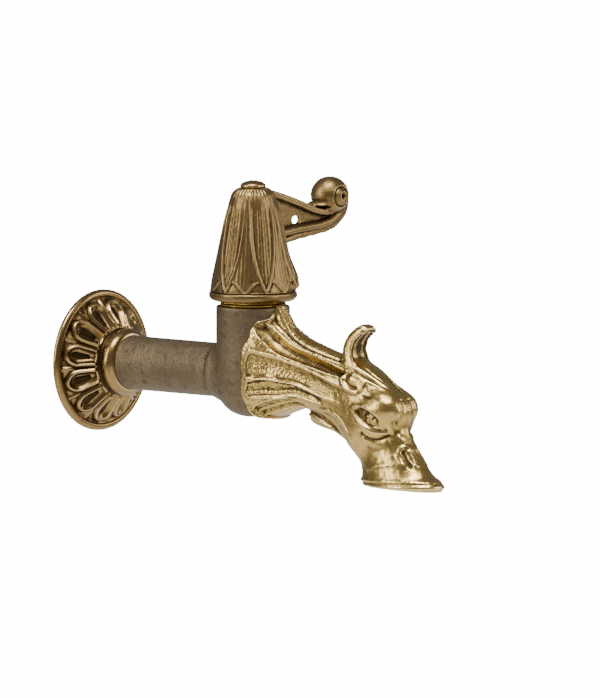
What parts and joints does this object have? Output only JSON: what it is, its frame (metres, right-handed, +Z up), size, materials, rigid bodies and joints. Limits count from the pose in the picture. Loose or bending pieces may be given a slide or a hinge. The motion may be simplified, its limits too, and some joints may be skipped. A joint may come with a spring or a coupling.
{
  "type": "hose bib",
  "caption": "Ornate wall-mounted garden tap with a quarter-turn lever handle, a leaf-shaped bell, a shell and animal-head spout and a lobed wall rosette.",
  "frame": {"origin": "centre of the tail in the wall plane", "axes": "+X out of the wall along the pipe, +Z up along the barrel towards the handle, +Y along the lever at rest"},
  "size_m": [0.2145, 0.0927, 0.1314],
  "materials": {
    "aged_brass": "dull grey-brown patina over turned brass",
    "polished_brass": "polished on the ridges, dark and rough in the hollows",
    "bright_brass": "bright turned brass",
    "antique_brass": "antique brass, worn bright along its edges",
    "screw_brass": "satin",
    "rosette_brass": "polished bronze-brown with dark recesses",
    "rubber": "black nitrile",
    "fibre": "pressed fibre",
    "polymer": "moulded acetal",
    "ceramic": "lapped alumina ceramic",
    "spring_steel": "stamped spring steel"
  },
  "bodies": {
    "tap": {"inlet_tube": "aged_brass", "barrel": "aged_brass", "spout": "polished_brass", "headwork_body": "bright_brass", "headwork_seal": "fibre", "seat_seal": "rubber", "seal_support_ring": "polymer", "fixed_disc": "ceramic"},
    "lever": {"handle": "antique_brass", "handle_screw": "screw_brass", "spindle": "bright_brass", "spindle_o_rings": "rubber", "spindle_circlip": "spring_steel", "friction_ring": "polymer", "moving_disc": "ceramic"},
    "rosette": {"wall_rosette": "rosette_brass"}
  },
  "joints": [
    {"name": "handle_turn", "type": "hinge", "parent": "tap", "child": "lever", "pos_m": [0.091, 0, 0.05], "axis": [0, 0, 1], "range_deg": [-90, 0]},
    {"name": "rosette_slide", "type": "slide", "parent": "tap", "child": "rosette", "axis": [1, 0, 0], "range_m": [0, 0.048]}
  ]
}
